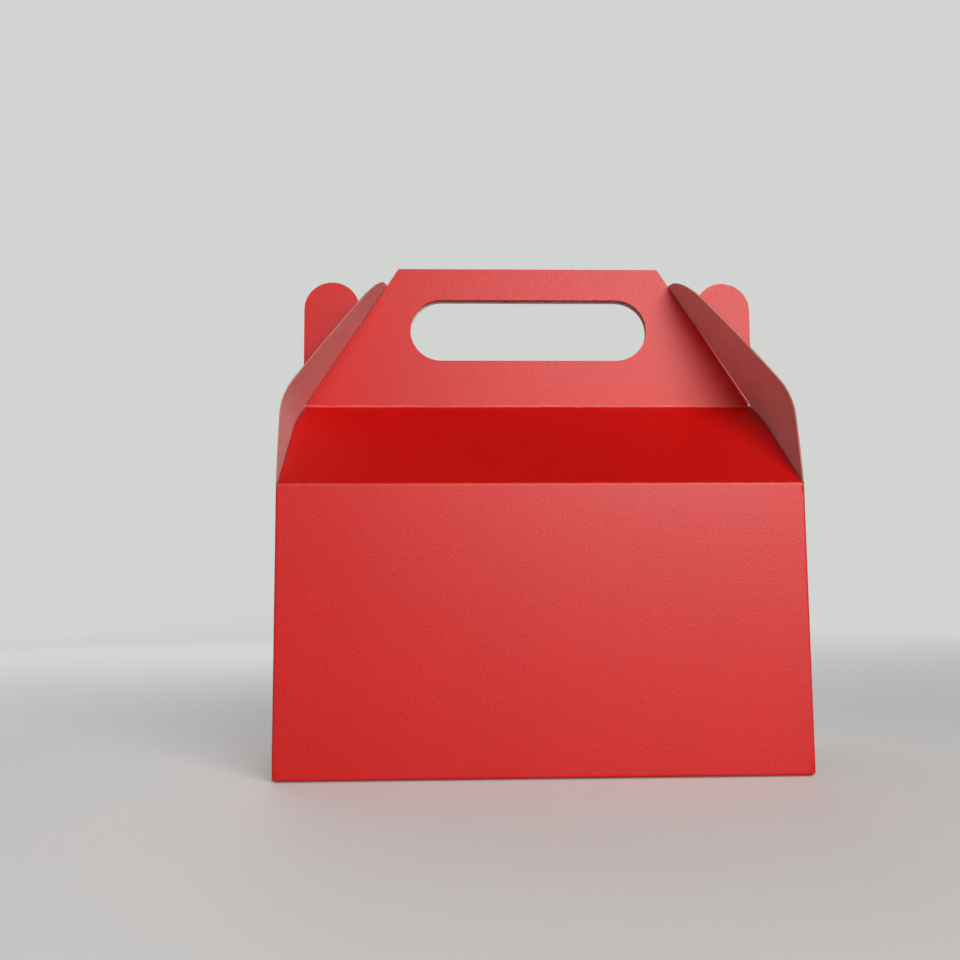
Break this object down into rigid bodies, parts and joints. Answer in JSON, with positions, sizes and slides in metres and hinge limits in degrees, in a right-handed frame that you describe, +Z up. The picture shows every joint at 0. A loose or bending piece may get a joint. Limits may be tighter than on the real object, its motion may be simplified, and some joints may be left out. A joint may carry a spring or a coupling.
{
  "type": "candy box",
  "caption": "Red folded-card gable box for sweets, with a hand-hole handle, side ears, and slotted end flaps that hook over the ears.",
  "frame": {"origin": "middle of the bottom, on the surface that the box stands on", "axes": "+Z up, +X along the box towards its right end panel as seen from the front, -Y towards the front panel"},
  "size_m": [0.16, 0.09, 0.1671],
  "materials": {
    "card": "red satin laminate over white board"
  },
  "bodies": {
    "carton": {"carton": "card"},
    "left_end_flap": {"left_end_flap": "card"},
    "right_end_flap": {"right_end_flap": "card"}
  },
  "joints": [
    {"name": "left_flap_fold", "type": "hinge", "parent": "carton", "child": "left_end_flap", "pos_m": [-0.08, 0, 0.08676], "axis": [0, -1, 0], "range_deg": [0, 120]},
    {"name": "right_flap_fold", "type": "hinge", "parent": "carton", "child": "right_end_flap", "pos_m": [0.08, 0, 0.08676], "axis": [0, 1, 0], "range_deg": [0, 120]}
  ]
}
